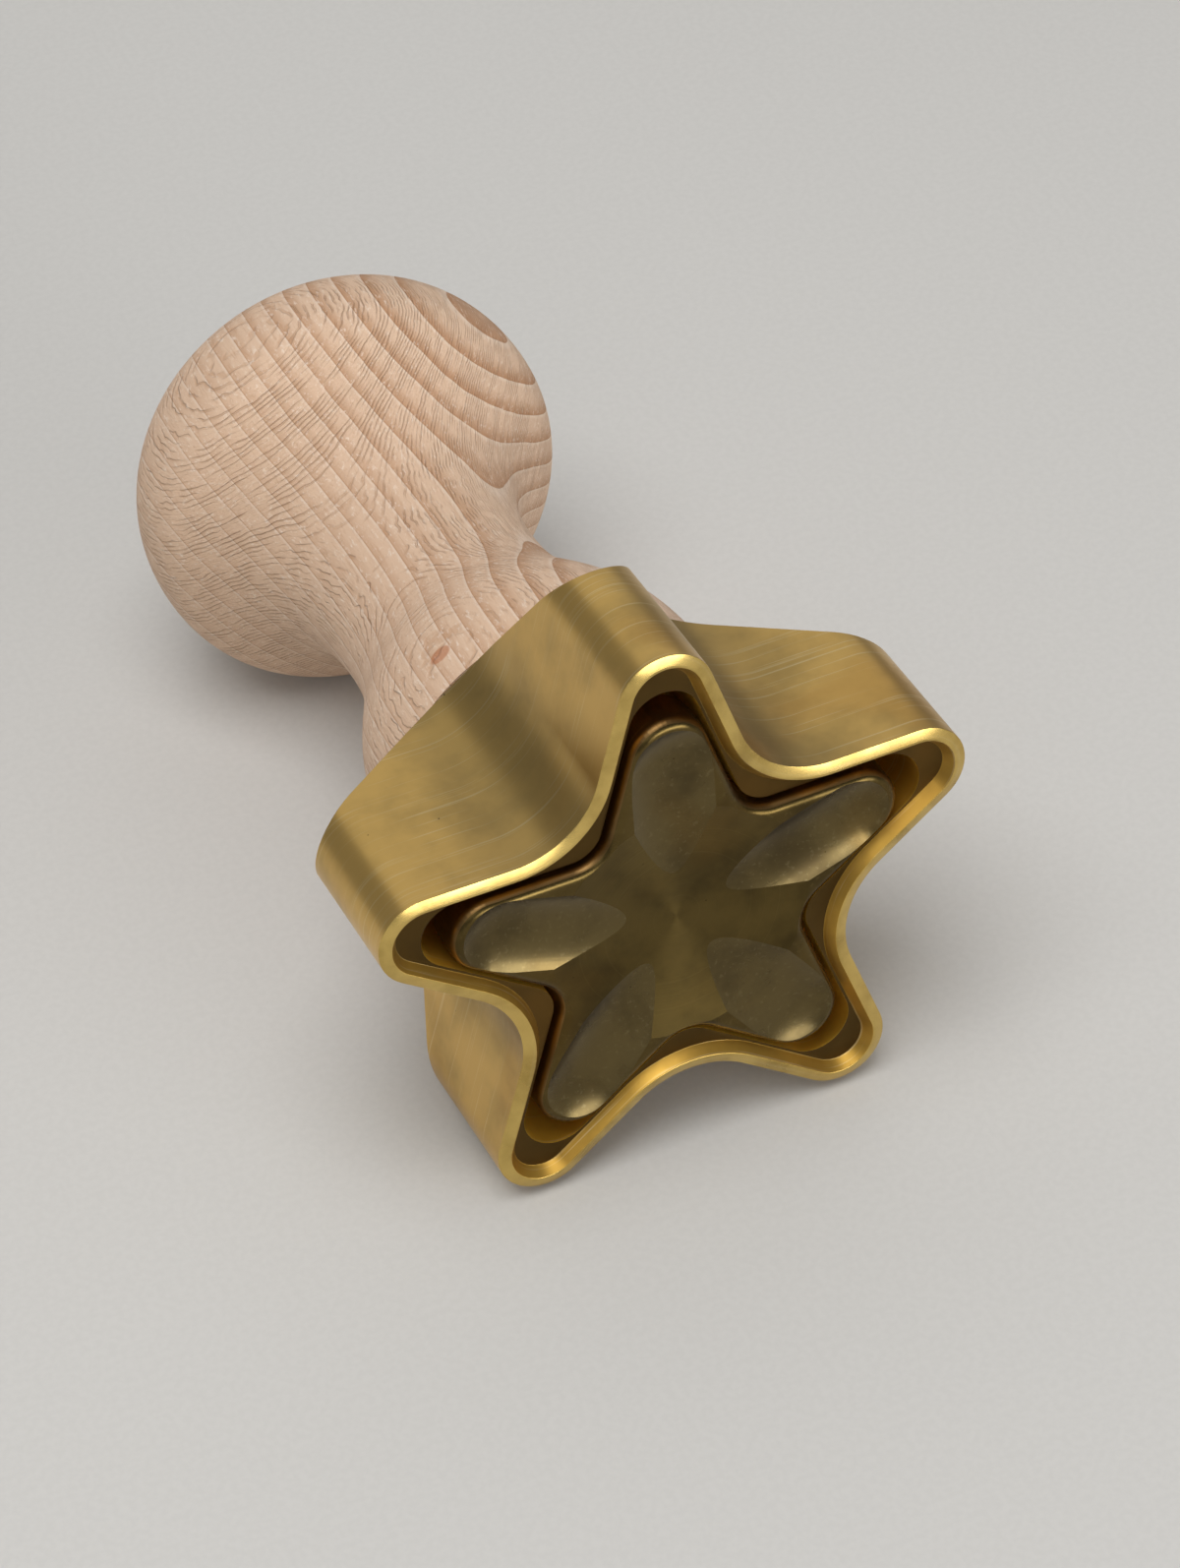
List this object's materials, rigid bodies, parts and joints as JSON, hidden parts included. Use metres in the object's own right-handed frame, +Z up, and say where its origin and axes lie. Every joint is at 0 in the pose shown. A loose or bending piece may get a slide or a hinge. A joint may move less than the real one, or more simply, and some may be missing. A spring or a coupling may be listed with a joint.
{
  "type": "ravioli stamp",
  "caption": "Star-shaped brass ravioli stamp with a cutting rim, a sprung flower plate that presses and ejects the dough, and a turned beech handle.",
  "frame": {"origin": "on the table under the middle of the stamp, which lies on two star tips and its knob", "axes": "+Y from the star face toward the knob, +Z up from the table, +X to the right when facing the star face"},
  "size_m": [0.0632, 0.101, 0.0616],
  "materials": {
    "cutter_brass": "satin turned and brushed",
    "plate_brass": "darkened by use, milled",
    "fitting_brass": "turned",
    "beech": "raw, turned and sanded",
    "steel": "bright drawn"
  },
  "bodies": {
    "stamp": {"cutter_body": "cutter_brass", "handle": "beech", "handle_spigot": "fitting_brass", "spigot_nut": "fitting_brass", "guide_bush": "fitting_brass", "handle_insert": "fitting_brass", "return_spring": "steel"},
    "ejector": {"ejector_plate": "plate_brass", "ejector_stem": "steel", "stop_washer": "steel", "stem_nut": "steel", "stem_lock_nut": "steel"}
  },
  "joints": [
    {"name": "ejector_slide", "type": "slide", "parent": "stamp", "child": "ejector", "axis": [0, 0.9981, -0.0622], "range_m": [0, 0.008], "stiffness_N_per_m": 1500, "springref_m": -0.004, "deforming": ["return_spring"]}
  ]
}
